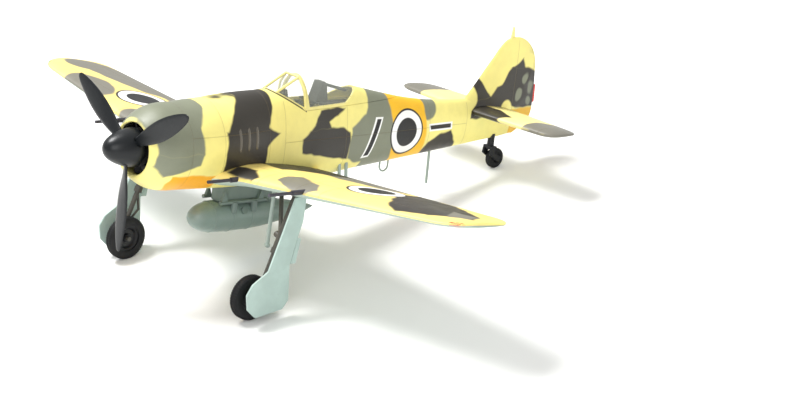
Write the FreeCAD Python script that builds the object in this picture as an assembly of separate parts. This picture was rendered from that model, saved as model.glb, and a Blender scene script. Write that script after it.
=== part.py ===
import FreeCAD, Part
import math
import os
from FreeCAD import Vector

# 1/72 display model of a radial-engined single-seat fighter, in millimetres.
# Everything is first built on the thrust line: +X to port, +Y aft of the
# spinner's tip, +Z up. stand_on_wheels() then sets it on its three wheels.

# Overall sizes
HALF_SPAN = 72.95
PROPELLER_RADIUS = 22.5
SKIN = 0.95
SIDE_REACH = 30.0

# Fuselage outline: station, half width, top, widest height, bottom, upper and lower roundness
FUSELAGE = [
    (16.0, 9.35, 9.05, -0.3, -9.65, 2.0, 2.0),
    (20.0, 9.40, 9.30, -0.3, -9.75, 2.0, 2.0),
    (25.0, 9.20, 9.70, -0.4, -9.90, 2.0, 2.1),
    (30.0, 8.65, 10.20, -0.7, -10.05, 2.1, 2.2),
    (35.0, 7.60, 10.50, -1.0, -10.15, 2.2, 2.3),
    (40.0, 6.75, 10.70, -1.5, -10.20, 2.3, 2.4),
    (43.5, 6.40, 11.60, -1.8, -10.20, 2.2, 2.4),
    (48.6, 5.95, 14.10, -2.0, -10.12, 2.1, 2.4),
    (55.0, 5.65, 13.10, -1.9, -9.85, 2.1, 2.4),
    (61.0, 5.35, 11.75, -1.7, -9.35, 2.1, 2.3),
    (67.0, 4.95, 10.30, -1.5, -8.65, 2.1, 2.2),
    (75.0, 4.35, 8.50, -1.0, -7.95, 2.1, 2.2),
    (82.0, 3.75, 7.10, -0.6, -7.35, 2.1, 2.1),
    (90.0, 3.05, 6.10, -0.2, -6.60, 2.0, 2.1),
    (98.0, 2.30, 5.75, 0.2, -5.80, 2.0, 2.1),
    (106.0, 1.60, 5.60, 0.5, -5.00, 2.0, 2.0),
    (113.0, 1.10, 5.30, 0.6, -4.35, 2.0, 2.0),
    (118.6, 0.75, 4.50, 0.4, -3.60, 2.0, 2.0),
]
CAVITY_END = 99.0
SECTION_POINTS = 28
SECTION_SPACING = 3.4

# Side view of the cockpit edge: windscreen base, then the sill that the hood slides along
BASE_FRONT = (41.6, 10.85)
BASE_REAR = (49.2, 6.70)
SILL_END = (82.0, 7.52)
ARCH_TOP = (48.5, 14.60)
HOOD_GAP = 0.08
HOOD_SKIN = 0.45
GLASS_REAR_LOW = (60.6, 7.20)
GLASS_REAR_HIGH = (66.6, 10.90)
RAIL_HEIGHT = 0.60
ARCH_WIDTH = 0.85

# Windscreen: half widths of its flat front pane
PANE_HALF_LOW = 2.15
PANE_HALF_HIGH = 2.25
PANE_THICKNESS = 0.30
BAR_RADIUS = 0.30

# Cowling, engine and propeller; the cowling's axis lies a little under the thrust line
COWL_Z = -0.30
LIP_STATION = 7.2
LIP_BACK = 7.6
LIP_RADIUS = 5.5
COWL = [(LIP_STATION, 5.85), (LIP_BACK, 6.5), (8.6, 7.3), (10.2, 8.3), (12.0, 8.95), (14.0, 9.27),
        (16.0, 9.35)]
THROAT_RADIUS = 6.45
DUCT_RADIUS = 8.30
SPINNER = [(0.0, 0.0), (0.22, 1.0), (0.9, 1.95), (2.2, 2.85), (4.0, 3.60), (5.6, 4.02), (7.0, 4.20)]
SPINNER_LENGTH = 7.3
BLADE_STATION = 5.9
BLADE_ANGLES = (-60.0, 60.0, 180.0)
BLADE_POINTS = 12
SHAFT_RADIUS = 0.80
SHAFT_START = 5.0
SHAFT_END = 15.8
FAN_BLADES = 12
FAN_RADIUS = 5.70
FAN_FRONT = 8.7
FAN_REAR = 10.5
BEARING_RADIUS = 2.0
ENGINE_FRONT = 11.4
ENGINE_REAR = 16.0
CYLINDERS = 9
CYLINDER_REACH = 7.75

# Wing: leading and trailing edges at the root station, and their slopes along the span
ROOT_Y = 9.0
WING_LE = (25.9, 0.083)
WING_TE = (54.2, -0.100)
WING_LE_Z = -5.80
WING_TE_Z = -6.50
DIHEDRAL_SLOPE = 0.108
ROOT_THICKNESS = 0.150
TIP_THICKNESS = 0.100
WING_INNER_X = 5.0
ROOT_FAIRING_END = 14.0
ROOT_FAIRING_START = 7.0
ROOT_FAIRING_REACH = 3.2
LE_TIP_START = 66.0
LE_TIP_POWER = 2.2
LE_TIP_Y = 37.0
TE_TIP_START = 66.0
TE_TIP_POWER = 2.5
TE_TIP_Y = 43.0
TIP_MARGIN = 0.15
TIP_STEPS = 11
EDGE_THICKNESS = 0.32

# Tailplane and fin
TAILPLANE_Z = 2.75
TAILPLANE_HALF_SPAN = 26.2
TAIL_TIP_START = 21.5
TAIL_TIP_POWER = 2.4
TAIL_TIP_CHORD_SHARE = 0.35
TAIL_TIP_MARGIN = 0.1
TAIL_EDGE_HALF = 0.12
TAILPLANE_LE = (103.0, 0.060)
TAILPLANE_TE = (115.4, -0.045)
FIN = [
    (-3.6, 106.0, 118.8, 1.10),
    (-1.5, 103.0, 122.4, 1.30),
    (1.0, 101.0, 124.3, 1.55),
    (4.0, 101.2, 124.5, 1.75),
    (6.5, 102.3, 124.4, 1.75),
    (8.5, 104.0, 124.3, 1.65),
    (11.0, 106.0, 124.1, 1.50),
    (14.0, 108.4, 123.7, 1.30),
    (16.8, 110.6, 122.5, 1.10),
    (18.6, 112.2, 120.7, 0.90),
    (19.6, 113.8, 118.9, 0.70),
    (20.0, 115.2, 117.3, 0.50),
]

# Undercarriage
WHEEL_RADIUS = 4.86
WHEEL_WIDTH = 2.30
WHEEL_X = 22.65
AXLE_Y = 24.3
AXLE_Z = -27.75
AXLE_RADIUS = 0.50
HUB_RADIUS = 2.95
LEG_X = 24.6
LEG_TOP_Y = 32.4
LEG_TOP_Z = -5.0
LEG_RADIUS = 0.80
OLEO_RADIUS = 0.55
DOOR_X = 26.6
DOOR_THICKNESS = 0.45
DOOR = [(30.1, -5.4), (32.9, -5.4), (32.7, -10.5), (31.5, -14.8), (30.3, -20.1), (31.0, -27.7), (29.6, -29.6),
        (22.6, -30.8), (20.4, -28.9), (19.8, -25.7), (21.1, -23.5), (24.9, -21.0), (27.5, -13.3)]
DOOR_FLAP = [(31.8, -14.2), (32.7, -14.5), (31.9, -19.8), (30.6, -19.8)]
DOOR_LUG_SHARES = (0.16, 0.46, 0.90)
DOOR_LUG_RADIUS = 0.45
TAIL_WHEEL_RADIUS = 2.45
TAIL_WHEEL_WIDTH = 1.60
TAIL_AXLE_Y = 114.3
TAIL_AXLE_Z = -9.50
TAIL_AXLE_RADIUS = 0.30
TAIL_HUB_RADIUS = 1.25
SWIVEL_Y = 112.4
SWIVEL_PIN_RADIUS = 0.35
RUNNING_CLEARANCE = 0.05

# Drop tank and its rack under the belly
TANK_RADIUS = 3.55
TANK_Z = -16.90
TANK = [(23.7, 0.0), (24.1, 1.25), (25.2, 2.3), (27.2, 3.1), (30.0, 3.5), (33.0, 3.55), (38.0, 3.5),
        (44.0, 3.1), (50.0, 2.2), (55.0, 1.2), (58.5, 0.0)]
RACK_HALF_WIDTH = 2.6
RACK_FRONT = 32.6
RACK_REAR = 47.0
RACK_DEPTH = 5.0
RACK_BOTTOM = -13.25
RAIL_X = 3.05

# Guns, masts and wing-tip lamps
LAMP_CENTRE = (71.4, 33.2, 1.15)
LAMP = [(-1.7, 0.0), (-1.5, 0.30), (-0.8, 0.55), (0.0, 0.62), (0.8, 0.55), (1.5, 0.30), (1.7, 0.0)]
LAMP_TURN = -48.0
INNER_GUN_X = 12.0
OUTER_GUN_X = 31.0
GUN_LENGTH = 8.6
GUN_RADIUS = 0.36


def point(x, y, z):
    return Vector(x, y, z)


def bar(start, end, radius):
    """Round bar between two points."""
    direction = end.sub(start)
    return Part.makeCylinder(radius, direction.Length, start, direction)


def fuse(shapes):
    whole = shapes[0]
    for shape in shapes[1:]:
        whole = whole.fuse(shape)
    return whole.removeSplitter()


def solid_loft(wires, ruled=False):
    loft = Part.makeLoft(wires, True, ruled)
    if loft.Volume < 0:
        loft.reverse()
    return loft


def mirrored(shape):
    return shape.mirror(Vector(0, 0, 0), Vector(1, 0, 0))


def side_prism(outline, low=-SIDE_REACH, high=SIDE_REACH):
    """Solid whose side view is the outline, from x = low to x = high."""
    corners = [point(low, y, z) for y, z in outline]
    face = Part.Face(Part.makePolygon(corners + corners[:1]))
    return face.extrude(Vector(high - low, 0, 0))


def turned(profile, x=0.0, z=0.0):
    """Solid of revolution about a line along Y; the profile is (station, radius)."""
    corners = [point(x, y, z + radius) for y, radius in profile]
    face = Part.Face(Part.makePolygon(corners + corners[:1]))
    return face.revolve(point(x, 0, z), Vector(0, 1, 0), 360)


def turned_smooth(profile, x=0.0, z=0.0, angle=360, start_turn=0.0):
    """Solid of revolution about a line along Y under a smooth curve that starts and ends on the line."""
    corners = [point(x, y, z + radius) for y, radius in profile]
    curve = Part.BSplineCurve()
    curve.interpolate(corners)
    axis = Part.makeLine(corners[-1], corners[0])
    face = Part.Face(Part.Wire([curve.toShape(), axis]))
    face.rotate(point(x, 0, z), Vector(0, 1, 0), start_turn)
    return face.revolve(point(x, 0, z), Vector(0, 1, 0), angle)


def egg_wire(station, half_width, top, middle, bottom, upper, lower, inset=0.0):
    points = []
    for index in range(SECTION_POINTS):
        angle = 2 * math.pi * index / SECTION_POINTS - math.pi / 2
        cosine = math.cos(angle)
        sine = math.sin(angle)
        power = upper if sine > 0 else lower
        reach = (top - middle if sine > 0 else middle - bottom) - inset
        x = math.copysign(abs(cosine) ** (2 / power), cosine) * (half_width - inset)
        z = middle + math.copysign(abs(sine) ** (2 / power), sine) * reach
        points.append(point(x, station, z))
    curve = Part.BSplineCurve()
    curve.interpolate(points, PeriodicFlag=True)
    return Part.Wire([curve.toShape()])


def smooth_value(column, station):
    """One column of the fuselage table at any station, without overshoot between its rows."""
    stations = [row[0] for row in FUSELAGE]
    values = [row[column] for row in FUSELAGE]
    slopes = [(values[i + 1] - values[i]) / (stations[i + 1] - stations[i]) for i in range(len(values) - 1)]
    tangents = [slopes[0]]
    for before, after in zip(slopes, slopes[1:]):
        tangents.append(0.0 if before * after <= 0 else 2 * before * after / (before + after))
    tangents.append(slopes[-1])
    index = max(i for i in range(len(values) - 1) if stations[i] <= station)
    step = stations[index + 1] - stations[index]
    t = (station - stations[index]) / step
    return ((2 * t ** 3 - 3 * t ** 2 + 1) * values[index] + (t ** 3 - 2 * t ** 2 + t) * step * tangents[index]
            + (3 * t ** 2 - 2 * t ** 3) * values[index + 1] + (t ** 3 - t ** 2) * step * tangents[index + 1])


def fuselage_body(inset=0.0, first=FUSELAGE[0][0], last=FUSELAGE[-1][0] - 0.001):
    count = max(2, round((last - first) / SECTION_SPACING))
    wires = []
    for index in range(count + 1):
        station = first + (last - first) * index / count
        row = [smooth_value(column, station) for column in range(1, 7)]
        wires.append(egg_wire(station, *row, inset=inset))
    return solid_loft(wires)


def above_cockpit_edge():
    """Everything over the windscreen base and the sill."""
    outline = [BASE_FRONT, BASE_REAR, SILL_END, (SILL_END[0], 20.0), (BASE_FRONT[0], 20.0)]
    return side_prism(outline)


def fin_section(height, front, rear, thickness):
    chord = rear - front
    widths = ((0.0, 0.0), (0.04, 0.55), (0.15, 0.9), (0.35, 1.0), (0.65, 0.75), (1.0, 0.22))
    port = [point(thickness / 2 * width, front + chord * share, height) for share, width in widths]
    starboard = [point(-p.x, p.y, p.z) for p in reversed(port)]
    port_curve = Part.BSplineCurve()
    port_curve.interpolate(port)
    starboard_curve = Part.BSplineCurve()
    starboard_curve.interpolate(starboard)
    edge = Part.makeLine(port[-1], starboard[0])
    return Part.Wire([port_curve.toShape(), edge, starboard_curve.toShape()])


def fin_body():
    return solid_loft([fin_section(*row) for row in FIN])


def make_fuselage(wing_centre):
    outer = fuselage_body()
    cavity = fuselage_body(SKIN, FUSELAGE[0][0], CAVITY_END)
    whole = outer.cut(cavity).cut(above_cockpit_edge()).fuse(fin_body())
    whole = whole.cut(wing_centre)
    left = whole.common(side_prism([(0, -40), (140, -40), (140, 40), (0, 40)], 0.0, SIDE_REACH))
    right = whole.common(side_prism([(0, -40), (140, -40), (140, 40), (0, 40)], -SIDE_REACH, 0.0))
    return left, right


def make_cowl_ring():
    curve = Part.BSplineCurve()
    curve.interpolate([point(0, y, r) for y, r in COWL])
    cowl_end, cowl_radius = COWL[-1]
    lip_bend = point(0, LIP_STATION + 0.06, (COWL[0][1] + LIP_RADIUS) / 2)
    lip = Part.Arc(point(0, *COWL[0]), lip_bend, point(0, LIP_BACK, LIP_RADIUS))
    inside = [(LIP_BACK, LIP_RADIUS), (8.4, THROAT_RADIUS), (11.0, THROAT_RADIUS), (11.9, DUCT_RADIUS),
              (cowl_end, DUCT_RADIUS), (cowl_end, cowl_radius)]
    edges = [curve.toShape(), lip.toShape()]
    for (y1, r1), (y2, r2) in zip(inside, inside[1:]):
        edges.append(Part.makeLine(point(0, y1, r1), point(0, y2, r2)))
    face = Part.Face(Part.Wire(Part.__sortEdges__(edges)))
    ring = face.revolve(Vector(0, 0, 0), Vector(0, 1, 0), 360)
    ring.translate(point(0, 0, COWL_Z))
    return ring


def make_engine():
    """Crankcase with its ring of finned cylinders, on a plate that fits the cowling."""
    case = turned([(ENGINE_FRONT, BEARING_RADIUS), (ENGINE_FRONT, 2.9), (12.3, 4.1), (ENGINE_REAR, 4.1),
                   (ENGINE_REAR, BEARING_RADIUS)])
    plate = Part.makeCylinder(DUCT_RADIUS, 0.6, point(0, ENGINE_REAR - 0.6, COWL_Z), Vector(0, 1, 0))
    plate = plate.cut(Part.makeCylinder(BEARING_RADIUS, 2.0, point(0, ENGINE_REAR - 1.0, 0), Vector(0, 1, 0)))
    shapes = [case, plate]
    root = 3.6
    middle = Vector(0, 13.9, 0)
    for index in range(CYLINDERS):
        angle = 2 * math.pi * index / CYLINDERS
        outward = Vector(math.sin(angle), 0, math.cos(angle))
        shapes.append(Part.makeCylinder(1.25, CYLINDER_REACH - root, middle.add(outward * root), outward))
        for ring in range(4):
            shapes.append(Part.makeCylinder(1.4, 0.3, middle.add(outward * (4.6 + 0.75 * ring)), outward))
    return fuse(shapes)


def make_cockpit_tub():
    cavity = fuselage_body(SKIN, FUSELAGE[0][0], CAVITY_END)
    block = cavity.common(side_prism([(44.0, -3.4), (80.0, -3.4), (80.0, 7.0), (49.2, 6.2), (44.0, 9.0)]))
    pit = Part.makeBox(8.2, 14.0, 14.0, point(-4.1, 46.0, -2.6))
    return block.cut(pit)


def make_seat():
    """Bucket seat with low sides, on a foot."""
    outline = [(53.4, -1.3), (57.6, -1.3), (58.6, 4.4), (58.0, 4.4), (57.3, 1.4), (56.4, 0.6), (53.4, 0.0)]
    inside = [(53.0, -0.7), (57.0, -0.7), (57.9, 5.0), (53.0, 5.0)]
    bucket = side_prism(outline, -2.2, 2.2).cut(side_prism(inside, -1.85, 1.85))
    foot = Part.makeBox(2.6, 3.0, 1.6, point(-1.3, 54.0, -2.6))
    return fuse([bucket, foot])


def make_instrument_panel():
    outline = [(46.6, -2.6), (47.1, -2.6), (48.1, 6.0), (46.9, 7.2), (46.3, 7.2), (47.4, 5.8)]
    plate = side_prism(outline, -3.9, 3.9)
    cavity = fuselage_body(SKIN + 0.02, FUSELAGE[0][0], CAVITY_END)
    dials = [Part.makeCylinder(0.7, 0.5, point(x, 47.6, z), Vector(0, 1, 0))
             for x, z in ((-2.4, 3.9), (0.0, 3.9), (2.4, 3.9), (-1.2, 2.0), (1.2, 2.0))]
    return fuse([plate.common(cavity)] + dials)


def make_stick():
    return fuse([bar(point(0, 51.0, -2.6), point(0, 51.4, 2.0), 0.28),
                 bar(point(0, 51.4, 1.8), point(0, 51.1, 3.6), 0.42)])


def make_gunsight():
    outline = [(45.2, 7.2), (46.8, 7.2), (47.0, 9.0), (46.6, 10.6), (45.8, 10.6), (45.2, 9.2)]
    return side_prism(outline, -0.8, 0.8)


def windscreen_corners():
    low = point(PANE_HALF_LOW, BASE_FRONT[0] + 0.75, BASE_FRONT[1] - 0.35)
    high = point(PANE_HALF_HIGH, ARCH_TOP[0] - 0.25, 13.75)
    side = point(5.02, BASE_REAR[0] - 0.35, BASE_REAR[1] + 0.30)
    shoulder = point(4.25, ARCH_TOP[0] + 0.05, 11.2)
    return low, high, shoulder, side


def pane(corners, inward):
    """Flat clear plate whose outer face has these corners; inward says roughly where its back lies."""
    normal = corners[1].sub(corners[0]).cross(corners[2].sub(corners[0]))
    normal.normalize()
    if normal.dot(inward) < 0:
        normal = normal * -1
    return Part.Face(Part.makePolygon(corners + corners[:1])).extrude(normal * PANE_THICKNESS)


def make_windscreen():
    low, high, shoulder, side = windscreen_corners()
    flip = [Vector(-p.x, p.y, p.z) for p in (low, high, shoulder, side)]
    paths = [(low, high), (high, shoulder), (shoulder, side), (low, side)]
    bars = []
    for start, end in paths:
        bars.append(bar(start, end, BAR_RADIUS))
        bars.append(bar(Vector(-start.x, start.y, start.z), Vector(-end.x, end.y, end.z), BAR_RADIUS))
    bars.append(bar(low, flip[0], BAR_RADIUS))
    bars.append(bar(high, flip[1], BAR_RADIUS))
    for corner in (low, high, shoulder, side):
        bars.append(Part.makeSphere(BAR_RADIUS, corner))
        bars.append(Part.makeSphere(BAR_RADIUS, Vector(-corner.x, corner.y, corner.z)))
    frame = fuse(bars)
    front = pane([low, high, flip[1], flip[0]], Vector(0, 0, -1))
    side_panes = [pane([low, high, side], Vector(-1, 0, 0)), pane([high, shoulder, side], Vector(-1, 0, 0))]
    return frame, Part.Compound([front] + side_panes + [mirrored(shape) for shape in side_panes])


def make_hood():
    shell = fuselage_body(0.0, 40.0, 90.0).cut(fuselage_body(HOOD_SKIN, 40.0, 90.0))
    slope = (SILL_END[1] - BASE_REAR[1]) / (SILL_END[0] - BASE_REAR[0])

    def sill(station, lift):
        return (station, BASE_REAR[1] + slope * (station - BASE_REAR[0]) + lift)

    front = BASE_REAR[0] + HOOD_GAP
    lean = (BASE_REAR[0] - ARCH_TOP[0]) / (ARCH_TOP[1] - BASE_REAR[1])
    far_top = 16.0

    def arch(offset, height):
        return (front + offset - lean * (height - BASE_REAR[1]), height)

    region = side_prism([sill(front, HOOD_GAP), sill(84.0, HOOD_GAP), (84.0, far_top), arch(0.0, far_top)])
    shell = shell.common(region)
    rake = (GLASS_REAR_HIGH[0] - GLASS_REAR_LOW[0]) / (GLASS_REAR_HIGH[1] - GLASS_REAR_LOW[1])

    def rear_line(height):
        return (GLASS_REAR_LOW[0] + rake * (height - GLASS_REAR_LOW[1]), height)

    behind = side_prism([rear_line(6.0), (90.0, 6.0), (90.0, far_top), rear_line(far_top)])
    fairing = shell.common(behind)
    ahead = shell.cut(behind)
    rail_band = side_prism([(40.0, 5.0), (70.0, 5.0), sill(70.0, HOOD_GAP + RAIL_HEIGHT),
                            sill(40.0, HOOD_GAP + RAIL_HEIGHT)])
    arch_band = side_prism([arch(-1.0, 5.0), arch(ARCH_WIDTH, 5.0), arch(ARCH_WIDTH, far_top),
                            arch(-1.0, far_top)])
    frame = ahead.common(rail_band.fuse(arch_band))
    glass = ahead.cut(rail_band).cut(arch_band)
    plate = side_prism([(54.4, 7.3), (58.0, 7.3), (57.2, 11.6), (56.9, 12.0), (56.0, 12.0)], -1.5, 1.5)
    base = side_prism([(54.4, 7.3), (58.0, 7.3), (58.0, 7.7), (54.4, 7.7)], -4.9, 4.9)
    brace = bar(point(0, 56.6, 11.5), point(0, 64.9, 9.3), 0.35)
    rest = fuse([plate, base, brace]).common(fuselage_body(HOOD_SKIN, 40.0, 90.0)).cut(behind)
    return frame, glass, fairing, rest


def tip_share(span_station, start, end, power):
    """Fall from 1 at start to 0 at end along a rounded corner; a higher power is a squarer corner."""
    if span_station <= start:
        return 1.0
    share = min(1.0, (span_station - start) / (end - start))
    return (1.0 - share ** power) ** (1.0 / power)


def wing_station(x):
    """Front and rear edge, their heights and the thickness ratio of the wing at span station x."""
    le_share = tip_share(x, LE_TIP_START, HALF_SPAN + TIP_MARGIN, LE_TIP_POWER)
    te_share = tip_share(x, TE_TIP_START, HALF_SPAN + TIP_MARGIN, TE_TIP_POWER)
    front = WING_LE[0] + WING_LE[1] * (x - ROOT_Y)
    rear = WING_TE[0] + WING_TE[1] * (x - ROOT_Y)
    if x < ROOT_FAIRING_END:
        blend = min(1.0, (ROOT_FAIRING_END - x) / (ROOT_FAIRING_END - ROOT_FAIRING_START))
        front -= ROOT_FAIRING_REACH * blend ** 2
    front = LE_TIP_Y - (LE_TIP_Y - front) * le_share
    rear = TE_TIP_Y + (rear - TE_TIP_Y) * te_share
    rise = DIHEDRAL_SLOPE * (x - ROOT_Y)
    thickness = ROOT_THICKNESS + (TIP_THICKNESS - ROOT_THICKNESS) * (x - ROOT_Y) / (HALF_SPAN - ROOT_Y)
    return front, rear, WING_LE_Z + rise, WING_TE_Z + rise, thickness


AIRFOIL = ((0.0, 0.0), (0.01, 0.142), (0.04, 0.272), (0.1, 0.39), (0.2, 0.478), (0.32, 0.5),
           (0.5, 0.44), (0.7, 0.30), (0.87, 0.145), (1.0, 0.0))


def airfoil_wire(x, front, rear, front_z, rear_z, ratio, side):
    """Half airfoil over (side 1) or under (side -1) its chord line."""
    chord = rear - front
    bulge = 1.15 if side > 0 else 0.85
    edge = min(EDGE_THICKNESS / 2, 0.03 * chord)
    points = []
    for share, height in AIRFOIL:
        lift = side * (height * ratio * chord * bulge + edge * share)
        points.append(point(x, front + chord * share, front_z + (rear_z - front_z) * share + lift))
    curve = Part.BSplineCurve()
    curve.interpolate(points)
    rear_middle = point(x, rear, rear_z)
    return Part.Wire([curve.toShape(), Part.makeLine(points[-1], rear_middle),
                      Part.makeLine(rear_middle, points[0])])


def wing_half(side):
    stations = [WING_INNER_X, ROOT_FAIRING_START, 8.5, 10.0, 11.5, ROOT_FAIRING_END, LE_TIP_START]
    for step in range(1, TIP_STEPS + 1):
        turn = math.pi / 2 * step / TIP_STEPS
        stations.append(LE_TIP_START + (HALF_SPAN - LE_TIP_START) * math.sin(turn))
    wires = [airfoil_wire(x, *wing_station(x), side) for x in stations]
    return solid_loft(wires, True)


def make_wing(fuselage):
    lower = wing_half(-1)
    inner = wing_station(WING_INNER_X)
    centre = solid_loft([airfoil_wire(x, *inner, -1) for x in (-WING_INNER_X, WING_INNER_X)], True)
    whole_lower = lower.fuse(centre).fuse(mirrored(lower))
    upper = wing_half(1).cut(fuselage)
    return whole_lower, upper, mirrored(upper)


def tailplane_wire(x):
    share = tip_share(x, TAIL_TIP_START, TAILPLANE_HALF_SPAN + TAIL_TIP_MARGIN, TAIL_TIP_POWER)
    front = TAILPLANE_LE[0] + TAILPLANE_LE[1] * x
    rear = TAILPLANE_TE[0] + TAILPLANE_TE[1] * x
    middle = front + 0.55 * (rear - front)
    chord_share = TAIL_TIP_CHORD_SHARE + (1.0 - TAIL_TIP_CHORD_SHARE) * share
    front = middle - (middle - front) * chord_share
    rear = middle + (rear - middle) * chord_share
    thickness = 0.13 * share + 0.05
    points = []
    for spot, height in AIRFOIL:
        lift = height * thickness * (rear - front) + TAIL_EDGE_HALF * spot
        points.append(point(x, front + (rear - front) * spot, TAILPLANE_Z + lift))
    under = [point(p.x, p.y, 2 * TAILPLANE_Z - p.z) for p in reversed(points)]
    top_curve = Part.BSplineCurve()
    top_curve.interpolate(points)
    under_curve = Part.BSplineCurve()
    under_curve.interpolate(under)
    return Part.Wire([top_curve.toShape(), Part.makeLine(points[-1], under[0]), under_curve.toShape()])


def make_tailplane(body):
    stations = [0.0]
    for step in range(TIP_STEPS + 1):
        turn = math.pi / 2 * step / TIP_STEPS
        stations.append(TAIL_TIP_START + (TAILPLANE_HALF_SPAN - TAIL_TIP_START) * math.sin(turn))
    return solid_loft([tailplane_wire(x) for x in stations], True).cut(body)


def make_blade():
    """Blade pointing up; its leading edge lies to starboard and forward."""
    rows = ((2.0, 1.8, 26, 0.42), (4.2, 2.1, 24, 0.36), (6.5, 3.0, 17, 0.24), (9.5, 4.0, 11, 0.17),
            (13.0, 4.45, 8, 0.13), (16.5, 4.05, 6, 0.12), (19.3, 3.15, 5, 0.12), (21.3, 2.1, 5, 0.14),
            (22.2, 1.2, 5, 0.2), (PROPELLER_RADIUS, 0.5, 5, 0.3))
    wires = []
    for radius, chord, pitch, ratio in rows:
        turn = math.radians(pitch)
        points = []
        for index in range(BLADE_POINTS):
            angle = 2 * math.pi * index / BLADE_POINTS
            along = 0.5 * chord * math.cos(angle)
            across = 0.5 * chord * ratio * math.sin(angle)
            x = -along * math.cos(turn) + across * math.sin(turn)
            y = -along * math.sin(turn) - across * math.cos(turn)
            points.append(point(x, BLADE_STATION + y, radius))
        curve = Part.BSplineCurve()
        curve.interpolate(points, PeriodicFlag=True)
        wires.append(Part.Wire([curve.toShape()]))
    return solid_loft(wires)


def make_propeller():
    """Spinner, blades, shaft and the fan behind the spinner."""
    shaft = bar(point(0, SHAFT_START, 0), point(0, SHAFT_END, 0), SHAFT_RADIUS)
    blades = []
    for angle in BLADE_ANGLES:
        blade = make_blade()
        blade.rotate(Vector(0, 0, 0), Vector(0, 1, 0), angle)
        blades.append(blade.cut(shaft))
    curve = Part.BSplineCurve()
    curve.interpolate([point(0, y, r) for y, r in SPINNER])
    back = [SPINNER[-1], (SPINNER_LENGTH, SPINNER[-1][1]), (SPINNER_LENGTH, 0.0), (0.0, 0.0)]
    edges = [curve.toShape()]
    for (y1, r1), (y2, r2) in zip(back, back[1:]):
        edges.append(Part.makeLine(point(0, y1, r1), point(0, y2, r2)))
    spinner = Part.Face(Part.Wire(edges)).revolve(Vector(0, 0, 0), Vector(0, 1, 0), 360)
    for blade in blades:
        spinner = spinner.cut(blade)
    return spinner.cut(shaft), blades, shaft, make_fan()


def make_fan():
    hub_radius = 4.1
    hub = turned([(FAN_FRONT, SHAFT_RADIUS), (FAN_FRONT, hub_radius), (FAN_REAR, hub_radius),
                  (FAN_REAR, SHAFT_RADIUS)])
    shapes = [hub]
    for index in range(FAN_BLADES):
        vane = Part.makeBox(0.35, 2.3, FAN_RADIUS - hub_radius + 0.2, point(-0.175, -1.15, hub_radius - 0.2))
        vane.rotate(Vector(0, 0, 0), Vector(0, 0, 1), 38)
        vane.translate(Vector(0, (FAN_FRONT + FAN_REAR) / 2, 0))
        vane.rotate(Vector(0, 0, 0), Vector(0, 1, 0), 360.0 * index / FAN_BLADES)
        shapes.append(vane)
    limit = Part.makeCylinder(FAN_RADIUS, FAN_REAR - FAN_FRONT, point(0, FAN_FRONT, 0), Vector(0, 1, 0))
    return fuse(shapes).common(limit)


def make_bearing():
    bore = SHAFT_RADIUS + RUNNING_CLEARANCE
    return turned([(11.6, bore), (11.6, BEARING_RADIUS), (ENGINE_REAR, BEARING_RADIUS), (ENGINE_REAR, bore)])


def wheel_profile(radius, width, hub_radius, bore):
    half = width / 2
    shoulder = 0.62 * half
    tyre = [(-shoulder, hub_radius), (-half, hub_radius + 0.35 * (radius - hub_radius)),
            (-half, hub_radius + 0.62 * (radius - hub_radius)), (-0.78 * half, radius - 0.12 * radius),
            (-0.42 * half, radius - 0.02 * radius), (0.0, radius), (0.42 * half, radius - 0.02 * radius),
            (0.78 * half, radius - 0.12 * radius), (half, hub_radius + 0.62 * (radius - hub_radius)),
            (half, hub_radius + 0.35 * (radius - hub_radius)), (shoulder, hub_radius)]
    hub = [(-shoulder, hub_radius), (-shoulder, hub_radius * 0.82), (-0.2 * half, hub_radius * 0.70),
           (-0.2 * half, hub_radius * 0.36), (-0.7 * half, hub_radius * 0.30), (-0.7 * half, bore),
           (0.7 * half, bore), (0.7 * half, hub_radius * 0.30), (0.2 * half, hub_radius * 0.36),
           (0.2 * half, hub_radius * 0.70),
           (shoulder, hub_radius * 0.82), (shoulder, hub_radius)]
    return tyre, hub


def wheel_solid(profile, x, y, z):
    corners = [point(x + offset, y, z + radius) for offset, radius in profile]
    face = Part.Face(Part.makePolygon(corners + corners[:1]))
    return face.revolve(point(x, y, z), Vector(1, 0, 0), 360)


def rounded_plate(outline, low, high, radius):
    plate = side_prism(outline, low, high)
    corners = [edge for edge in plate.Edges if abs(edge.Vertexes[0].Point.x - edge.Vertexes[1].Point.x) > 0.1]
    return plate.makeFillet(radius, corners)


def leg_point(share):
    return point(LEG_X, LEG_TOP_Y + (AXLE_Y - LEG_TOP_Y) * share, LEG_TOP_Z + (AXLE_Z - LEG_TOP_Z) * share)


def make_leg(wing):
    shapes = [bar(leg_point(0.0), leg_point(0.55), LEG_RADIUS),
              bar(leg_point(0.5), leg_point(1.0), OLEO_RADIUS),
              bar(leg_point(0.52), leg_point(0.57), LEG_RADIUS + 0.12),
              bar(leg_point(0.90), leg_point(1.03), OLEO_RADIUS + 0.2)]
    axle_length = LEG_X - (WHEEL_X - WHEEL_WIDTH / 2) + 0.35
    shapes.append(Part.makeCylinder(AXLE_RADIUS, axle_length, point(LEG_X, AXLE_Y, AXLE_Z), Vector(-1, 0, 0)))
    for share in DOOR_LUG_SHARES:
        foot = leg_point(share)
        shapes.append(bar(foot, point(DOOR_X, foot.y, foot.z), DOOR_LUG_RADIUS))
    return fuse(shapes).cut(wing)


def make_torque_link(leg):
    knee = leg_point(0.74).add(Vector(0, 2.1, -0.2))
    shapes = [bar(leg_point(0.56), knee, 0.28), bar(knee, leg_point(0.92), 0.28), Part.makeSphere(0.34, knee)]
    return fuse(shapes).cut(leg)


def make_retraction_strut(leg, wing):
    foot = leg_point(0.42)
    top = point(18.4, 33.2, -5.8)
    knuckle = bar(foot.add(Vector(-1.5, 0.1, 0.4)), foot, 0.70)
    return fuse([bar(foot, top, 0.48), knuckle]).cut(leg).cut(wing)


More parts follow.
